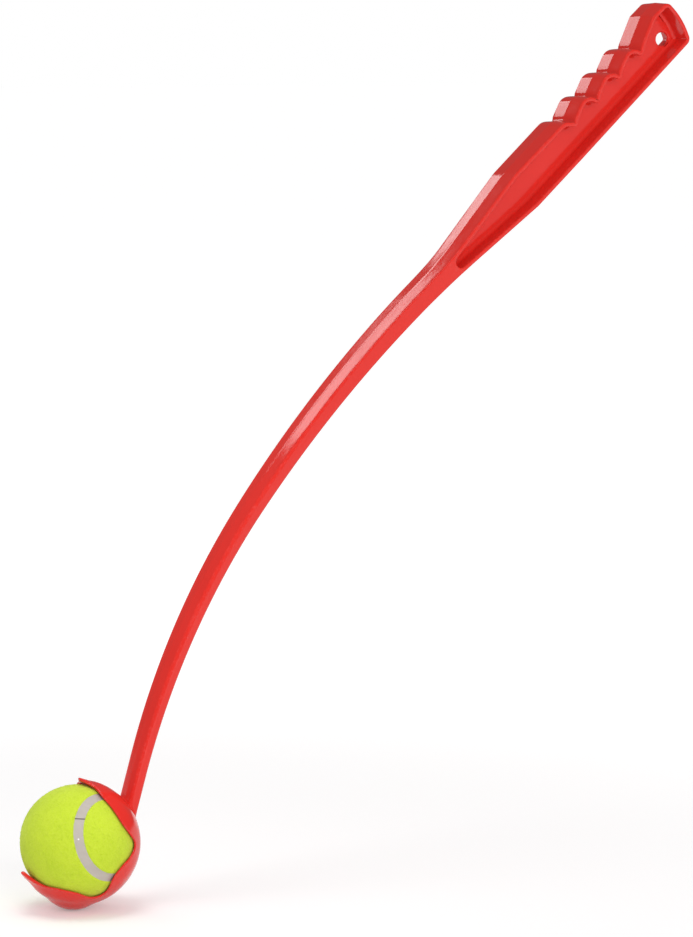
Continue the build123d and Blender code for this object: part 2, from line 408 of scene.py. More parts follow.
def new_material(name):
    """Material with its Principled shader and object coordinates."""
    material = bpy.data.materials.new(name)
    material.use_nodes = True
    nodes, links = material.node_tree.nodes, material.node_tree.links
    shader = nodes["Principled BSDF"]
    coords = nodes.new("ShaderNodeTexCoord").outputs["Object"]
    return material, nodes, links, shader, coords


def attribute(nodes, name):
    node = nodes.new("ShaderNodeAttribute")
    node.attribute_name = name
    return node.outputs["Fac"]


def red_plastic():
    """Glossy moulded plastic with a faint ripple, and fine scuffs along its edges."""
    material, nodes, links, shader, coords = new_material("red_moulded_plastic")
    cloud = noise_node(nodes, links, coords, 22.0, 2.0)
    colour = mixed(nodes, links, cloud, *RED)
    grain = noise_node(nodes, links, coords, 900.0, 4.0, 0.6)
    scuff = noise_node(nodes, links, coords, 420.0, 5.0, 0.7)
    patches = spread(nodes, links, scuff, 0.5, 0.75, 0.0, 0.55)
    worn = maths(nodes, links, "MULTIPLY", attribute(nodes, "edge"), patches)
    colour = mixed(nodes, links, worn, colour, RED_WORN)
    links.new(colour, shader.inputs["Base Color"])
    gloss = spread(nodes, links, noise_node(nodes, links, coords, 60.0, 4.0), 0.3, 0.7, 0.07, 0.13)
    rough = maths(nodes, links, "ADD", gloss, maths(nodes, links, "MULTIPLY", worn, 0.25))
    links.new(rough, shader.inputs["Roughness"])
    shader.inputs["IOR"].default_value = 1.45
    shader.inputs["Specular IOR Level"].default_value = 0.38
    ripple = bump(nodes, links, noise_node(nodes, links, coords, 140.0, 2.0), 0.10, 0.0004)
    links.new(bump(nodes, links, grain, 0.06, 0.0001, ripple), shader.inputs["Normal"])
    return material


def ball_felt():
    """Napped felt: mottled, soft and without gloss."""
    material, nodes, links, shader, coords = new_material("ball_felt_nap")
    cloud = noise_node(nodes, links, coords, 75.0, 4.0, 0.6)
    fibres = noise_node(nodes, links, coords, 1100.0, 5.0, 0.7)
    colour = mixed(nodes, links, cloud, *FELT)
    tips = spread(nodes, links, fibres, 0.35, 0.7, 0.0, 0.5)
    colour = mixed(nodes, links, tips, colour, FELT_TIPS)
    links.new(colour, shader.inputs["Base Color"])
    shader.inputs["Roughness"].default_value = 0.95
    shader.inputs["Specular IOR Level"].default_value = 0.15
    shader.inputs["Sheen Weight"].default_value = 0.35
    shader.inputs["Sheen Roughness"].default_value = 0.5
    shader.inputs["Sheen Tint"].default_value = (*FELT_SHEEN, 1.0)
    lumps = bump(nodes, links, noise_node(nodes, links, coords, 380.0, 3.0), 0.35, 0.0008)
    links.new(bump(nodes, links, fibres, 0.6, 0.0004, lumps), shader.inputs["Normal"])
    return material


def seam_rubber():
    """Grey seam rubber, with a short dark line across it and one small pale spot."""
    material, nodes, links, shader, coords = new_material("seam_rubber_grey")
    tick, speck = (BALL * MM + MM * BALL_RADIUS * way for way in (TICK_WAY, SPECK_WAY))
    along = unit(speck - tick)
    cloud = noise_node(nodes, links, coords, 160.0, 4.0, 0.6)
    colour = mixed(nodes, links, cloud, *SEAM_GREY)
    height = vector_maths(nodes, links, "DOT_PRODUCT", coords, along)
    line = maths(nodes, links, "COMPARE", height, float(tick @ along), TICK_HALF_WIDTH * MM)
    from_tick = vector_maths(nodes, links, "DISTANCE", coords, tick)
    near_tick = maths(nodes, links, "LESS_THAN", from_tick, TICK_REACH * MM)
    from_speck = vector_maths(nodes, links, "DISTANCE", coords, speck)
    on_speck = maths(nodes, links, "LESS_THAN", from_speck, SPECK_RADIUS * MM)
    dark = maths(nodes, links, "MULTIPLY", line, near_tick)
    colour = mixed(nodes, links, dark, colour, TICK_DARK)
    colour = mixed(nodes, links, on_speck, colour, SPECK_PALE)
    links.new(colour, shader.inputs["Base Color"])
    shader.inputs["Roughness"].default_value = 0.62
    grain = noise_node(nodes, links, coords, 900.0, 4.0)
    links.new(bump(nodes, links, grain, 0.25, 0.0003), shader.inputs["Normal"])
    return material


def core_rubber():
    """Dark moulded rubber inside the ball."""
    material, nodes, links, shader, coords = new_material("core_rubber_dark")
    cloud = noise_node(nodes, links, coords, 120.0, 4.0)
    links.new(mixed(nodes, links, cloud, *CORE_DARK), shader.inputs["Base Color"])
    shader.inputs["Roughness"].default_value = 0.7
    grain = noise_node(nodes, links, coords, 700.0)
    links.new(bump(nodes, links, grain, 0.3, 0.0003), shader.inputs["Normal"])
    return material


PLASTIC = red_plastic()


def dress(obj, material):
    obj.data.materials.append(material)


# Side view of the handle, in its own x along it to the butt and y to its front


def arc_through(first, middle, last, steps):
    """Points of the arc through three points."""
    a, b, c = (np.asarray(p, float) for p in (first, middle, last))
    rows = np.array([b - a, c - a])
    centre = np.linalg.solve(rows, np.array([(b @ b - a @ a) / 2, (c @ c - a @ a) / 2]))
    angles = [math.atan2(*(p - centre)[::-1]) for p in (a, b, c)]
    turn = (angles[2] - angles[0]) % (2 * math.pi)
    if (angles[1] - angles[0]) % (2 * math.pi) > turn:
        turn = turn - 2 * math.pi
    radius = np.linalg.norm(a - centre)
    sweep = [angles[0] + turn * k / steps for k in range(steps + 1)]
    return [centre + radius * np.array([math.cos(angle), math.sin(angle)]) for angle in sweep]


def fillet(before, corner, after, radius, steps=8):
    """Points of the arc that rounds a corner between two runs, and its centre."""
    corner = np.asarray(corner, float)
    u = unit(np.asarray(before) - corner)
    v = unit(np.asarray(after) - corner)
    half = math.acos(np.clip(u @ v, -1, 1)) / 2
    centre = corner + unit(u + v) * radius / math.sin(half)
    first = corner + u * radius / math.tan(half) - centre
    last = corner + v * radius / math.tan(half) - centre
    turn = math.pi - 2 * half
    points = []
    for k in range(steps + 1):
        share = k / steps
        arm = math.sin((1 - share) * turn) * first + math.sin(share * turn) * last
        points.append(centre + arm / math.sin(turn))
    return points, centre


def stepped(points, longest):
    """Polyline with no run longer than a length."""
    out = [np.asarray(points[0], float)]
    for point in points[1:]:
        run = np.asarray(point, float) - out[-1]
        count = max(1, math.ceil(np.linalg.norm(run) / longest))
        start = out[-1]
        out.extend(start + run * (k + 1) / count for k in range(count))
    return np.array(out)


def handle_chains():
    """Front, end and back of the handle's outline, with the two corner points between them."""
    first_finger = -HOLE_TO_BUTT - FINGER_COUNT * FINGER_PITCH
    root_front = (ROOT_X, -ROOT_DROP + ARM_DEPTHS[0] / 2)
    root_back = (ROOT_X, -ROOT_DROP - ARM_DEPTHS[0] / 2)
    flare_front = (FLARE_X, FRONT_Y)
    flare_back = (FLARE_X, BACK_Y - BELLY)
    shoulder = (first_finger - SHOULDER_LENGTH, FRONT_Y + GRIP_RISE)
    crease = (first_finger - CREASE_GAP, FINGER_Y - FINGER_STEP)
    front = [root_front]
    front += fillet(root_front, flare_front, shoulder, FLARE_ROUND)[0]
    front += fillet(flare_front, shoulder, crease, SHOULDER_ROUND)[0]
    front += [crease, (first_finger, FINGER_Y)]
    for finger in range(FINGER_COUNT):
        x = first_finger + finger * FINGER_PITCH
        y = FINGER_Y + finger * FINGER_RISE
        ramp = (x + FINGER_RAMP, y + FINGER_RAMP_HEIGHT)
        tail = (x + FINGER_PITCH - CREASE_GAP, y + FINGER_RISE - FINGER_STEP)
        front += arc_through(ramp, (x + FINGER_TOP, y + FINGER_HEIGHT), tail, FINGER_ARC_STEPS)
        front += [(x + FINGER_PITCH, y + FINGER_RISE)]
    butt_front = (-HOLE_TO_BUTT + BUTT_RAMP, BUTT_Y)
    butt_top = (HOLE_TO_END - BUTT_TOP_LEAN, BUTT_Y)
    heel = (HOLE_TO_END - BUTT_HEEL_LEAN, BACK_Y)
    front += fillet(front[-1], butt_front, butt_top, BUTT_FRONT_ROUND)[0]
    end = arc_through(butt_top, (HOLE_TO_END, (BACK_Y + BUTT_Y) / 2), heel, END_ARC_STEPS)
    top_round, top_centre = fillet(butt_front, butt_top, end[1], BUTT_ROUND, CORNER_STEPS)
    heel_round, heel_centre = fillet(end[-2], heel, flare_back, BUTT_ROUND, CORNER_STEPS)
    half = CORNER_STEPS // 2
    clear = [p for p in end if heel_round[0][1] < p[1] < top_round[-1][1]]
    for joint in (top_round[-1], heel_round[0]):
        clear = [p for p in clear if np.linalg.norm(p - joint) > END_GAP]
    front += top_round[: half + 1]
    end = top_round[half:] + clear + heel_round[: half + 1]
    back = heel_round[half:] + fillet(heel, flare_back, root_back, BELLY_ROUND)[0] + [root_back]
    corners = []
    for bend, centre in ((top_round, top_centre), (heel_round, heel_centre)):
        corners.append((bend[half], unit(centre - bend[half])))
    return stepped(front, FRONT_RUN), stepped(end, END_RUN), stepped(back, BACK_RUN), corners


FRONT, END, BACK, CORNERS = handle_chains()


def arm_edge_local(side):
    """Points of the arm's front or back edge near the handle, in the handle's x and y."""
    points = []
    for distance in np.arange(ROOT_REACH, 0, -ROOT_RUN):
        place, heading = arm_place(distance)
        place = place + side * arm_normal(heading) * eased(ARM_DEPTHS, distance / ARM_LENGTH) / 2
        points.append((place @ HANDLE_X, place @ HANDLE_Y))
    return np.array(points)


def fine_lines():
    """Closely stepped front, back and butt of the outline, each run on a little past its ends."""
    half = len(END) // 2
    upper = [arm_edge_local(1), stepped(FRONT, FINE_RUN), stepped(END[:half], FINE_RUN)]
    lower = [arm_edge_local(-1), stepped(BACK[::-1], FINE_RUN), stepped(END[::-1][:half], FINE_RUN)]
    butt = [FRONT[-BUTT_FRONT_POINTS:], END, BACK[:BUTT_BACK_POINTS]]
    butt = [stepped(chain, FINE_RUN) for chain in butt]
    return np.vstack(upper), np.vstack(lower), np.vstack(butt)


UPPER, LOWER, BUTT_END = fine_lines()


def shrunk(line, along, depth, sign):
    """Line moved in or, by a negative depth, out, the way a ball rolls along it, at given places."""
    reach = max(abs(depth), LEAST_REACH)
    gap = line[None, :, 0] - along[:, None]
    drop = np.sqrt(np.maximum(reach**2 - gap**2, 0)) * depth / reach
    level = sign * line[None, :, 1] - drop
    if depth < 0:
        return sign * np.where(np.abs(gap) <= reach, level, -np.inf).max(axis=1)
    return sign * np.where(np.abs(gap) <= reach, level, np.inf).min(axis=1)


def remap(values, old, new):
    return new[0] + (values - old[0]) * (new[1] - new[0]) / (old[1] - old[0])


def handle_ring(depth, start_x):
    """The handle's outline moved in by a depth, from a place near the root round the butt and back."""
    if depth == 0 and start_x == ROOT_X:
        return np.vstack([FRONT, END[1:-1], BACK])
    (top, top_in), (heel, heel_in) = CORNERS
    top_new = top + depth * top_in
    heel_new = heel + depth * heel_in
    front_x = remap(FRONT[:, 0], (ROOT_X, top[0]), (start_x, top_new[0]))
    end_y = remap(END[1:-1, 1], (top[1], heel[1]), (top_new[1], heel_new[1]))
    back_x = remap(BACK[:, 0], (ROOT_X, heel[0]), (start_x, heel_new[0]))
    front = np.column_stack([front_x, shrunk(UPPER, front_x, depth, 1)])
    end = np.column_stack([shrunk(BUTT_END[:, ::-1], end_y, depth, 1), end_y])
    back = np.column_stack([back_x, shrunk(LOWER, back_x, depth, -1)])
    return np.vstack([front, end, back])


def half_width(x):
    """Half the handle's width at a place along it."""
    share = np.clip((x - ROOT_X) / WIDTH_TAPER_LENGTH, 0, 1)
    return (ARM_WIDTHS[0] + (HANDLE_WIDTH - ARM_WIDTHS[0]) * share) / 2


def handle_points(flat, lateral):
    """Handle's flat points at a place across, in the part's frame."""
    return flat[:, :1] * HANDLE_X + flat[:, 1:] * HANDLE_Y + np.asarray(lateral).reshape(-1, 1) * ACROSS


# Handle and arm


def wall_rows():
    """Rows of points across the moulding's wall, from the near side to the far one.

    Each has a share of the half width, a fixed step from there, and a depth below the edge of the face,
    negative on its crown, which is a low ridge along the parting line.
    """
    rows = []
    for angle in (90.0, 67.5, 45.0, 22.5, 0.0):
        a = math.radians(angle)
        rows.append((-1.0, -EDGE_ROUND * math.sin(a), EDGE_ROUND * (1 - math.cos(a))))
    for share in (-0.82, -0.64, -0.46, -0.28, -0.12):
        rows.append((share, 0.0, CROWN * (abs(share) - 1)))
    rows.append((0.0, -PARTING_HALF_WIDTH, -CROWN))
    rows.append((0.0, 0.0, -CROWN))
    far = [(-share, -step, depth) for share, step, depth in rows[:-1]]
    return rows + far[::-1]


ROWS = wall_rows()


def arm_side(side, row):
    """One row of points down the arm's front or back, from its root to its end in the cup's wall."""
    share, step, depth = row
    front = side > 0
    points = []
    for k in range(1, ARM_STEPS + 1):
        place, heading = arm_place(ARM_LENGTH * k / ARM_STEPS)
        normal = arm_normal(heading)
        width = eased(ARM_WIDTHS, k / ARM_STEPS) / 2
        deep = eased(ARM_DEPTHS, k / ARM_STEPS) / 2
        # The groove, the edge's round and its drop come in by degrees down the arm
        groove = PARTING_DEPTH * min(1, k / GROOVE_STEPS) if front and share == 0 and step == 0 else 0
        bend = EDGE_ROUND + (ARM_ROUND - EDGE_ROUND) * np.clip((k - ARM_ROUND_START) / ARM_ROUND_STEPS, 0, 1)
        edge = deep - (ARM_EDGE_DROP if front else 0) * min(1, k / EDGE_DROP_STEPS)
        swell = bend / EDGE_ROUND if abs(share) == 1 else 1
        lateral = share * (width - bend) + step * swell
        flat = 2 * (width - bend) / HANDLE_WIDTH
        crown = depth * swell if depth > 0 else depth * flat * (1 if front else BACK_CROWN_SHARE)
        points.append(place + side * normal * (edge - crown - groove) + lateral * ACROSS)
    way = polar(heading)
    start = points[-1]
    offset = start - BALL
    reach = offset @ way
    sunk = CUP_OUTER_RADIUS - NECK_SINK
    length = -reach - math.sqrt(reach**2 - offset @ offset + sunk**2)
    # The neck's round spreads away from the arm's face, and sideways towards its edges
    out = unit(side * normal * (1 - abs(share)) + (lateral / width) ** 3 * ACROSS + 1e-6 * normal)
    for k in range(1, NECK_STEPS + 1):
        point = start + way * length * math.sin(k / NECK_STEPS * math.pi / 2)
        clear = np.linalg.norm(point - BALL) - CUP_OUTER_RADIUS
        near = np.clip(1 - clear / NECK_ROUND, 0, 1)
        points.append(point + out * NECK_ROUND * NECK_ROUND_SHARE * (1 - math.sqrt(1 - near**2)))
    return np.array(points)


def wall_points():
    """All rows of the wall, each from the cup up the arm's front, round the handle and down the back."""
    wall = []
    for row in ROWS:
        share, step, depth = row
        flat = handle_ring(depth, ROOT_X)
        lateral = share * (half_width(flat[:, 0]) - EDGE_ROUND) + step
        wall.append(np.vstack([arm_side(1, row)[::-1], handle_points(flat, lateral), arm_side(-1, row)]))
    wall = np.array(wall)
    root = ARM_STEPS + NECK_STEPS
    last = wall.shape[1] - 1 - root
    # Eases the joint of the handle and the arm
    for _ in range(SMOOTH_PASSES):
        for middle in (root, last):
            near = range(middle - SMOOTH_REACH, middle + SMOOTH_REACH + 1)
            moved = {i: 0.5 * wall[:, i] + 0.25 * (wall[:, i - 1] + wall[:, i + 1]) for i in near}
            for i, value in moved.items():
                wall[:, i] = value
    return wall, root, last


def recess_profile():
    """Rings from the rim down into the recess: depth in, height, and whether that is from the web."""
    profile = []
    for angle in (0, 30, 60, 90):
        s, c = math.sin(math.radians(angle)), math.cos(math.radians(angle))
        profile.append((FLANGE - RIM_ROUND * (1 - s), RIM_ROUND * (1 - c), False))
    foot = FLANGE + WALL_DRAFT
    for angle in (0, 12, 24, 36, 48, 60, 75, 90):
        s, c = math.sin(math.radians(angle)), math.cos(math.radians(angle))
        profile.append((foot + FLOOR_ROUND * (1 - c), FLOOR_ROUND * (1 - s), True))
    profile.append((foot + FLOOR_ROUND + FLOOR_STEP, 0.0, True))
    return profile


def recess_ring(depth):
    """Closed outline of the recess at a depth in from the handle's outline, round at the arm's end."""
    start_x = ROOT_X + RECESS_END + depth - FLANGE
    flat = handle_ring(depth, start_x)
    tail, head = flat[-1], flat[0]
    half = (head[1] - tail[1]) / 2
    turns = np.linspace(-1, 1, RECESS_END_STEPS)[1:-1]
    bulge = np.sqrt(1 - turns**2) * min(half, RECESS_END_BULGE)
    end = np.column_stack([start_x - bulge, (head[1] + tail[1]) / 2 + turns * half])
    return np.vstack([flat, end])


def close_web(obj, floors, holes):
    """Fills the web between the recess's floor and the hanging hole, and turns all faces outward."""
    bm = bmesh.new()
    bm.from_mesh(obj.data)
    bm.verts.ensure_lookup_table()
    for loops in zip(floors, holes):
        edges = []
        for loop in loops:
            for j, index in enumerate(loop):
                pair = (bm.verts[index], bm.verts[loop[(j + 1) % len(loop)]])
                edges.append(bm.edges.get(pair) or bm.edges.new(pair))
        bmesh.ops.triangle_fill(bm, use_beauty=True, edges=edges)
    bmesh.ops.recalc_face_normals(bm, faces=bm.faces)
    # The neck's end is open, so the outward side is taken from the highest face
    if max(bm.faces, key=lambda f: f.calc_center_median().z).normal.z < 0:
        bmesh.ops.reverse_faces(bm, faces=bm.faces)
    for face in bm.faces:
        face.smooth = True
    bm.to_mesh(obj.data)
    bm.free()


def launcher_mesh():
    """Handle and arm as one moulding."""
    wall, root, last = wall_points()
    count = wall.shape[1]
    points = list(wall.reshape(-1, 3))
    worn = []
    for i in range(len(ROWS)):
        worn += [1.0 if 1 <= min(i, len(ROWS) - 1 - i) <= 3 else 0.0] * count
    faces = []
    for i in range(len(ROWS) - 1):
        for j in range(count - 1):
            here, after = i * count + j, (i + 1) * count + j
            faces.append((here, here + 1, after + 1, after))

    def add(new, wear=0.0):
        start = len(points)
        points.extend(new)
        worn.extend([wear] * len(new))
        return list(range(start, len(points)))

    floors, holes, bores = [], [], []
    for side in (-1, 1):
        row = 0 if side < 0 else len(ROWS) - 1
        rim = [row * count + j for j in range(count)]
        # Flat sides of the arm, between its front and back edges
        for k in range(root):
            faces.append((rim[k], rim[k + 1], rim[count - 2 - k], rim[count - 1 - k]))
        # Rings from the rim down into the recess
        before = rim[root : last + 1]
        closed = None
        for depth, height, from_web in recess_profile():
            flat = recess_ring(depth)
            lateral = np.full(len(flat), WEB / 2 + height) if from_web else half_width(flat[:, 0]) - height
            ring = add(handle_points(flat, side * lateral), 0.0 if from_web else 1.0)
            if closed is None:
                chain = len(before)
                for j in range(chain - 1):
                    faces.append((before[j], before[j + 1], ring[j + 1], ring[j]))
                faces.append(tuple([before[0], before[-1]] + ring[chain - 1 :] + [ring[0]]))
            else:
                faces += bridged(closed, ring)
            closed = ring
        floors.append(closed)
        # Rounded edge of the hanging hole
        turns = np.linspace(0, 2 * math.pi, HOLE_SIDES + 1)[:-1]
        circle = np.column_stack([np.cos(turns), np.sin(turns)])
        rings = []
        for flare, sink in HOLE_EDGE:
            lateral = np.full(HOLE_SIDES, side * (WEB / 2 - sink))
            rings.append(add(handle_points((HOLE_RADIUS + flare) * circle, lateral)))
        for outer, inner in zip(rings, rings[1:]):
            faces += bridged(outer, inner)
        holes.append(rings[0])
        bores.append(rings[-1])
    faces += bridged(*bores)
    obj = make_object("launcher_moulding", points, faces)
    close_web(obj, floors, holes)
    mark_wear(obj, worn)
    weighted = obj.modifiers.new("even_normals", "WEIGHTED_NORMAL")
    weighted.weight = 80
    dress(obj, PLASTIC)
    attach(obj, "launcher")
    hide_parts("handle", "arm")


launcher_mesh()


# Claw cup


def looped(values, places):
    """Smooth closed curve through rows of values, at places counted in rows."""
    count = len(values)
    out = []
    for place in places:
        i = int(math.floor(place))
        t = place - i
        a, b, c, d = (values[(i + k) % count] for k in (-1, 0, 1, 2))
        square, cube = 2 * a - 5 * b + 4 * c - d, 3 * b - a - 3 * c + d
        out.append(0.5 * (2 * b + (c - a) * t + square * t**2 + cube * t**3))
    return np.array(out)


def on_claw(around, across, radius):
    """Point at a place round the ball in the swing plane, and to its side. The tips run on straight."""
    a, b = np.radians(around), np.radians(across)
    past = np.radians(np.maximum(np.maximum(around - UPPER_TIP_START, LOWER_TIP_START - around), 0))
    radius = np.asarray(radius) / np.sqrt((np.cos(b) * np.cos(past)) ** 2 + np.sin(b) ** 2)
    way = np.stack([np.cos(a) * np.cos(b), np.sin(b), np.sin(a) * np.cos(b)], -1)
    return BALL + way * radius[..., None]


def claw_rows():
    """Places round the claw and its reach to the side there, with a row at each lip's root, and its rim."""
    near = [np.array(r, float) for r in RIM_ANGLES]
    far = [np.array((a, -b), float) for a, b in RIM_ANGLES[-2:0:-1]]
    loop = near + far
    last = len(RIM_ANGLES) - 1
    places = list(np.linspace(0, last, CLAW_ROWS))
    for tip in (0, last - TIP_ROWS_REACH):
        places += list(np.linspace(tip, tip + TIP_ROWS_REACH, TIP_ROWS)[1:-1])
    dense = np.linspace(0, last, DENSE_STEPS)
    angles = looped(loop, dense)[:, 0]
    for root in (UPPER_LIP_ROOT, LOWER_LIP_ROOT):
        places.append(float(np.interp(-root, -angles, dense)))
    rows = looped(loop, sorted(places))
    rows[0, 1] = rows[-1, 1] = 0
    return rows, looped(loop, np.linspace(0, 2 * last, RIM_STEPS))


def foot_swell(turn):
    """Height of the cup's round foot above the cup, softly joined, at an angle from the foot's axis."""
    out = CUP_OUTER_RADIUS + FOOT_HEIGHT - FOOT_RADIUS
    away = np.minimum(out * np.sin(turn), FOOT_RADIUS)
    swell = out * np.cos(turn) + np.sqrt(FOOT_RADIUS**2 - away**2)
    swell = np.where(turn < math.pi / 2, swell - CUP_OUTER_RADIUS, -FOOT_RADIUS)
    return np.log1p(np.exp(swell / FOOT_BLEND)) * FOOT_BLEND


def claw_sheets():
    """Rows round the claw, the inner and outer points of its shell, and their distances from the rim."""
    rows, rim = claw_rows()
    middle = CUP_INNER_RADIUS + CUP_WALL / 2
    shares = np.sin(np.linspace(-math.pi / 2, math.pi / 2, CLAW_COLUMNS))
    around = np.repeat(rows[:, :1], len(shares), 1)
    across = rows[:, 1:] * shares
    base = on_claw(around, across, np.full(around.shape, middle))
    rim_points = on_claw(rim[:, 0], rim[:, 1], np.full(len(rim), middle))
    gap = np.linalg.norm(base[:, :, None] - rim_points[None, None], axis=-1).min(-1)
    gap[:, 0] = gap[:, -1] = gap[0] = gap[-1] = 0
    upper_tip = (around - UPPER_TIP_START) / UPPER_TIP_TAPER
    lower_tip = (LOWER_TIP_START - around) / LOWER_TIP_TAPER
    tip = np.clip(np.maximum(upper_tip, lower_tip), 0, 1)
    rim_wall = CUP_RIM_WALL + (TIP_WALL - CUP_RIM_WALL) * tip
    near = np.clip(gap / CUP_RIM_TAPER, 0, 1)
    wall = rim_wall + (CUP_WALL - rim_wall) * near * near * (3 - 2 * near)
    round_share = np.clip(1 - gap / (rim_wall / 2), 0, 1)
    half = wall / 2 * np.sqrt(1 - round_share**2)
    centre = CUP_INNER_RADIUS + wall / 2
    turn = np.arccos(np.clip((base - BALL) @ polar(FOOT_ANGLE) / middle, -1, 1))
    pad = PAD_HEIGHT * np.exp(-((turn / PAD_SPREAD_RADIANS) ** 2))
    inner = on_claw(around, across, centre - half - pad)
    outer = on_claw(around, across, centre + half + foot_swell(turn) * half / (CUP_WALL / 2))
    return rows, (inner, outer), gap


def claw():
    """Upper lip, cup and lower lip: a shell round the ball whose rim is fully rounded."""
    rows, sheets, gap = claw_sheets()
    count, width = gap.shape
    points, worn, faces, cuts, names = [], [], [], [], {}

    def index(sheet, i, j):
        """Number of a point, made at its first use. The two sheets share the rim's points."""
        key, wear = (sheet, i, j), np.clip(RIM_WEAR - gap[i, j], 0, 1)
        if i in (0, count - 1):
            key, wear = i, 1
        elif j in (0, width - 1):
            key, wear = (i, j), 1
        if key not in names:
            names[key] = len(points)
            points.append(sheets[sheet][i, j])
            worn.append(wear)
        return names[key]

    for i in range(count - 1):
        angle = rows[i : i + 2, 0].mean()
        piece = 0 if angle > UPPER_LIP_ROOT else 2 if angle < LOWER_LIP_ROOT else 1
        for sheet in (0, 1):
            for j in range(width - 1):
                places = ((i, j), (i + 1, j), (i + 1, j + 1), (i, j + 1))
                corners = list(dict.fromkeys(index(sheet, *place) for place in places))
                if len(corners) > 2:
                    faces.append(corners if sheet else corners[::-1])
                    cuts.append(piece)
    # The pieces take their normals from the whole claw, so that no line shows where they meet
    whole = make_object("claw_whole", points, faces)
    normals = [tuple(v.normal) for v in whole.data.vertices]
    bpy.data.objects.remove(whole)
    made = []
    for piece, name in enumerate(("upper_lip_shell", "cup_shell", "lower_lip_shell")):
        own = [f for f, c in zip(faces, cuts) if c == piece]
        used = sorted({v for f in own for v in f})
        place = {v: k for k, v in enumerate(used)}
        obj = make_object(name, [points[v] for v in used], [[place[v] for v in f] for f in own])
        obj.data.normals_split_custom_set_from_vertices([normals[v] for v in used])
        mark_wear(obj, [worn[v] for v in used])
        dress(obj, PLASTIC)
        made.append(obj)
    return made


upper, cup, lower = claw()
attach(cup, "launcher")
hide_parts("cup")
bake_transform(upper)
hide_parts("upper_lip")
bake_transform(lower)
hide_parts("lower_lip")


# Ball


def ball_axes():
    """Axes of the seam: through a lobe of one panel, across, and through the middle of the other."""
    rise, turn, round_to = (math.radians(a) for a in (SEAM_AXIS_RISE, SEAM_AXIS_TURN, SEAM_CLOSED_TURN))
    lobe = np.array([math.cos(rise) * math.cos(turn), math.cos(rise) * math.sin(turn), math.sin(rise)])
    closed = np.array([math.cos(round_to), math.sin(round_to), 0])
    closed = unit(closed - lobe * (closed @ lobe))
    return np.array([lobe, np.cross(closed, lobe), closed])


AXES = ball_axes()


def past_seam(directions):
    """Distance from the middle of the seam along the ball, positive on the front panel."""
    local = directions @ AXES.T
    x_angle = np.degrees(np.arccos(np.clip(np.abs(local[:, 0]), -1, 1)))
    y_angle = np.degrees(np.arccos(np.clip(np.abs(local[:, 1]), -1, 1)))
    angle = np.where(local[:, 2] > 0, SEAM_LOBE_ANGLE - x_angle, y_angle - SEAM_LOBE_ANGLE)
    return np.radians(angle) * BALL_RADIUS


def round_cube(count):
    """Directions and faces of an even ball made from a cube."""
    steps = np.tan(np.linspace(-math.pi / 4, math.pi / 4, count + 1))
    places, faces, found = [], [], {}
    for axis in range(3):
        for side in (-1, 1):
            grid = np.zeros((count + 1, count + 1), int)
            for i, u in enumerate(steps):
                for j, v in enumerate(steps):
                    point = np.zeros(3)
                    point[axis], point[(axis + 1) % 3], point[(axis + 2) % 3] = side, u, v
                    key = tuple(np.round(point, 7))
                    if key not in found:
                        found[key] = len(places)
                        places.append(point)
                    grid[i, j] = found[key]
            for i in range(count):
                for j in range(count):
                    face = (grid[i, j], grid[i + 1, j], grid[i + 1, j + 1], grid[i, j + 1])
                    faces.append(face if side > 0 else face[::-1])
    places = np.array(places)
    return places / np.linalg.norm(places, axis=1)[:, None], np.array(faces)


def fibre_points(random, direction):
    """Points of one loose fibre of felt: a triangle at its foot and its bend, and its tip."""
    out = unit(direction + random.normal(0, FIBRE_SCATTER, 3))
    side = unit(np.cross(out, random.normal(0, 1, 3)))
    lean = unit(np.cross(side, out))
    length = random.uniform(*FIBRE_LENGTHS)
    foot = BALL + out * (BALL_RADIUS - FIBRE_ROOT)
    bend, tip = (foot + length * (over * lean + up * out) for over, up in (FIBRE_BEND, FIBRE_TIP))
    points = []
    for point, thick in zip((foot, bend), FIBRE_HALF_WIDTHS):
        points += [point - side * thick, point + side * thick, point + out * thick]
    return points + [tip]


def fibre_faces(start):
    """Faces of a fibre whose points are counted from a start."""
    faces = [[start, start + 2, start + 1]]
    for k in range(3):
        a, b = start + k, start + (k + 1) % 3
        faces += [[a, b, b + 3, a + 3], [a + 3, b + 3, start + 6]]
    return faces


def felt_panels():
    """The two felt panels, rounded down to the seam, with loose fibres standing off them."""
    directions, faces = round_cube(BALL_GRID)
    place = past_seam(directions)
    random = np.random.default_rng(FIBRE_SEED)
    felt = ball_felt()
    for sign, name in ((1, "ball_felt_front"), (-1, "ball_felt_back")):
        past = sign * place - SEAM_WIDTH / 2 + FELT_OVERLAP
        keep = (past[faces] > -FELT_TUCK).all(axis=1)
        used = np.unique(faces[keep])
        index = {v: k for k, v in enumerate(used)}
        near = np.clip(1 - past[used] / FELT_SHOULDER, 0, None)
        shoulder = 1 - np.sqrt(np.clip(1 - near**2, 0, 1))
        drop = FELT_SHOULDER_DROP * np.where(near < 1, shoulder, 1 + FELT_TUCK_SLOPE * (near - 1))
        lumps = np.zeros(len(used))
        for scale, height in FELT_LUMPS:
            lumps += [noise.noise(Vector(d * scale)) * height for d in directions[used]]
        points = list(BALL + directions[used] * (BALL_RADIUS - FELT_SINK - drop + lumps)[:, None])
        shapes = [[index[v] for v in f] for f in faces[keep]]
        for root in random.choice(used[past[used] > FIBRE_MARGIN], FIBRE_COUNT):
            shapes += fibre_faces(len(points))
            points += fibre_points(random, directions[root])
        obj = make_object(name + "_nap", points, shapes)
        dress(obj, felt)
        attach(obj, "ball")
        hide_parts(name)


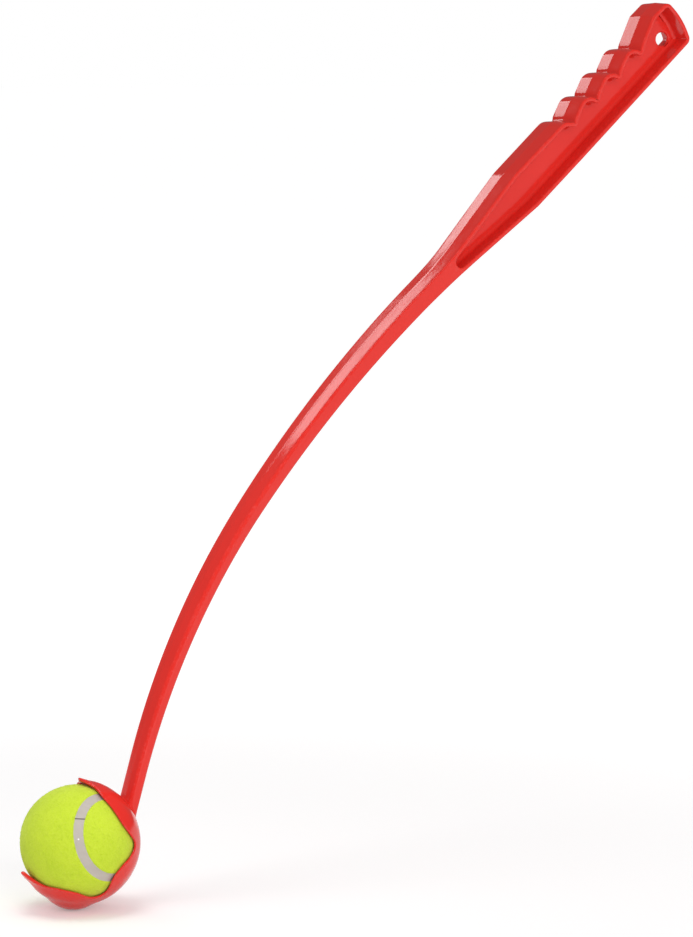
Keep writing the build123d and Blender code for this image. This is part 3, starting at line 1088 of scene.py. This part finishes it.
def seam_strip():
    """Seam rubber as a strip round the ball with a slightly hollow face, its edges under the felt."""
    shares = np.linspace(-1, 1, SEAM_COLUMNS)
    half = math.degrees((SEAM_WIDTH / 2 + SEAM_TUCK) / BALL_RADIUS)
    # Half circles about +x, +y, -x and -y in turn, above and below the middle plane
    quarters = ((0, 1, 1, -1), (1, -1, 1, 1), (0, 1, -1, 1), (1, -1, -1, -1))
    points = []
    for turn in np.linspace(0, 4, SEAM_STEPS + 1)[:-1]:
        axis, level, sign, heading = quarters[int(turn)]
        swing = math.radians(180 * (turn - int(turn)))
        for share in shares:
            angle = math.radians(SEAM_LOBE_ANGLE + share * half * (1 - 2 * axis))
            local = np.zeros(3)
            local[axis] = sign * math.cos(angle)
            local[1 - axis] = heading * math.cos(swing) * math.sin(angle)
            local[2] = level * math.sin(swing) * math.sin(angle)
            sink = SEAM_SUNK + SEAM_HOLLOW * (1 - share**2)
            points.append(BALL + (local @ AXES) * (BALL_RADIUS - sink))
    shapes = []
    for i in range(SEAM_STEPS):
        for j in range(SEAM_COLUMNS - 1):
            here, after = i * SEAM_COLUMNS + j, (i + 1) % SEAM_STEPS * SEAM_COLUMNS + j
            shapes.append((here, here + 1, after + 1, after))
    obj = make_object("ball_seam_strip", points, shapes)
    bm = bmesh.new()
    bm.from_mesh(obj.data)
    bmesh.ops.recalc_face_normals(bm, faces=bm.faces)
    bm.to_mesh(obj.data)
    bm.free()
    dress(obj, seam_rubber())
    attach(obj, "ball")
    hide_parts("ball_seam")


felt_panels()
seam_strip()
CORE = core_rubber()
for name in ("ball_core_front", "ball_core_back"):
    for slot in frame["nodes"][name].material_slots:
        slot.material = CORE


# Floor, light and camera, in metres

FLOOR_Z = cad_box[0].z
FLOOR_HALF_SIZE = 30.0
FLOOR_WHITE = (0.80, 0.79, 0.79, 1)
WHITE = (1, 1, 1, 1)
# Distances from the ball over which the floor's glow rises, and its glow there: a painted shade round the
# ball, lifting to white away from it
PAINTED_SHADE_REACH = (0.12, 0.8)
GLOW_SHADED_NEAR_BALL = (0.24, 0.48)
SOFT_LIGHT = 0.66
CEILING_RISE = 0.06
CEILING_LIGHT = 0.14
MIDDLE = (-0.2, 0.0, -0.25)
PHOTO_HEIGHT = 937
FOCAL_LENGTH_PIXELS = 3830
SENSOR_SIZE = 36.0
CAMERA_PLACE = (-1.31103, -1.961, 0.00429)
CAMERA_TURN = 29.1
CAMERA_PITCH = -6.5


def ray_share(nodes, links):
    """1 for rays from the camera, and for those that gloss or glass sends on."""
    path = nodes.new("ShaderNodeLightPath")
    share = maths(nodes, links, "MAXIMUM", path.outputs["Is Camera Ray"], path.outputs["Is Glossy Ray"])
    return maths(nodes, links, "MAXIMUM", share, path.outputs["Is Transmission Ray"])


def floor():
    """Wide white floor that keeps the object's shadow, with a painted shade round the ball in its glow."""
    mesh = bpy.data.meshes.new("floor")
    signs = ((-1, -1), (1, -1), (1, 1), (-1, 1))
    corners = [(x * FLOOR_HALF_SIZE, y * FLOOR_HALF_SIZE, FLOOR_Z) for x, y in signs]
    mesh.from_pydata(corners, [], [(0, 1, 2, 3)])
    obj = bpy.data.objects.new("floor", mesh)
    bpy.context.scene.collection.objects.link(obj)
    material = bpy.data.materials.new("floor_white")
    material.use_nodes = True
    nodes, links = material.node_tree.nodes, material.node_tree.links
    nodes.clear()
    matte = nodes.new("ShaderNodeBsdfDiffuse")
    matte.inputs["Color"].default_value = FLOOR_WHITE
    glow = nodes.new("ShaderNodeEmission")
    glow.inputs["Color"].default_value = WHITE
    # Painted shade: the glow is dimmer near the ball and brighter away from it, so that the floor runs into
    # the background
    coords = nodes.new("ShaderNodeTexCoord").outputs["Object"]
    gap = vector_maths(nodes, links, "DISTANCE", coords, (BALL[0] * MM, BALL[1] * MM, FLOOR_Z))
    shaded_glow = spread(nodes, links, gap, *PAINTED_SHADE_REACH, *GLOW_SHADED_NEAR_BALL)
    links.new(maths(nodes, links, "MULTIPLY", ray_share(nodes, links), shaded_glow), glow.inputs["Strength"])
    both = nodes.new("ShaderNodeAddShader")
    links.new(matte.outputs[0], both.inputs[0])
    links.new(glow.outputs[0], both.inputs[1])
    out = nodes.new("ShaderNodeOutputMaterial")
    links.new(both.outputs[0], out.inputs["Surface"])
    mesh.materials.append(material)


def world():
    """White behind the object, soft light from all round, and a dark ceiling in the gloss."""
    made = bpy.data.worlds.new("studio")
    bpy.context.scene.world = made
    made.use_nodes = True
    nodes, links = made.node_tree.nodes, made.node_tree.links
    nodes.clear()
    soft = nodes.new("ShaderNodeBackground")
    soft.inputs["Color"].default_value = WHITE
    soft.inputs["Strength"].default_value = SOFT_LIGHT
    white = nodes.new("ShaderNodeBackground")
    white.inputs["Color"].default_value = WHITE
    split = nodes.new("ShaderNodeSeparateXYZ")
    links.new(nodes.new("ShaderNodeTexCoord").outputs["Generated"], split.inputs[0])
    ceiling = spread(nodes, links, split.outputs["Z"], 0.0, CEILING_RISE, 1.0, CEILING_LIGHT)
    path = nodes.new("ShaderNodeLightPath").outputs
    seen = maths(nodes, links, "MAXIMUM", path["Is Camera Ray"], path["Is Transmission Ray"])
    links.new(maths(nodes, links, "MAXIMUM", seen, ceiling), white.inputs["Strength"])
    mix = nodes.new("ShaderNodeMixShader")
    links.new(ray_share(nodes, links), mix.inputs[0])
    links.new(soft.outputs[0], mix.inputs[1])
    links.new(white.outputs[0], mix.inputs[2])
    out = nodes.new("ShaderNodeOutputWorld")
    links.new(mix.outputs[0], out.inputs["Surface"])


def softbox(name, place, target, size, power, roll=0.0, spread_angle=180.0, mirrored=True):
    """Rectangular area light aimed at a point. Shiny faces show it only if it is mirrored."""
    light = bpy.data.lights.new(name, "AREA")
    light.shape = "RECTANGLE"
    light.size, light.size_y = size
    light.energy = power
    light.spread = math.radians(spread_angle)
    obj = bpy.data.objects.new(name, light)
    bpy.context.scene.collection.objects.link(obj)
    obj.visible_glossy = mirrored
    obj.location = place
    obj.rotation_mode = "QUATERNION"
    aim = (Vector(target) - Vector(place)).to_track_quat("-Z", "Y")
    obj.rotation_quaternion = aim @ Quaternion((0, 0, 1), math.radians(roll))


def lamps():
    """Soft key from the camera's side, a back lamp for the gloss and a small lamp over the ball."""
    softbox("key_softbox", (-0.6, -2.2, 0.3), MIDDLE, size=(1.2, 1.2), power=20, mirrored=False)
    softbox(
        "back_softbox",
        place=(-0.4125, 1.3853, 0.6302),
        target=(-0.1125, -0.0147, -0.0748),
        size=(0.525, 0.275),
        power=1.44,
        roll=-18.0,
    )
    softbox(
        "top_softbox",
        place=(-0.46, -0.02, 0.30),
        target=(-0.42, 0.0, -0.5),
        size=(0.3, 0.3),
        power=0.2,
        spread_angle=60.0,
    )


def camera():
    """Camera at the photograph's viewing angle."""
    data = bpy.data.cameras.new("camera")
    data.sensor_width = SENSOR_SIZE
    data.lens = FOCAL_LENGTH_PIXELS * SENSOR_SIZE / PHOTO_HEIGHT
    data.clip_start, data.clip_end = 0.1, 100
    obj = bpy.data.objects.new("camera", data)
    bpy.context.scene.collection.objects.link(obj)
    obj.location = CAMERA_PLACE
    turn, pitch = math.radians(CAMERA_TURN), math.radians(CAMERA_PITCH)
    level = math.cos(pitch)
    aim = Vector((level * math.sin(turn), level * math.cos(turn), math.sin(pitch)))
    obj.rotation_mode = "QUATERNION"
    obj.rotation_quaternion = aim.to_track_quat("-Z", "Y")
    bpy.context.scene.camera = obj


floor()
world()
lamps()
camera()
bpy.context.scene.view_settings.view_transform = "Standard"
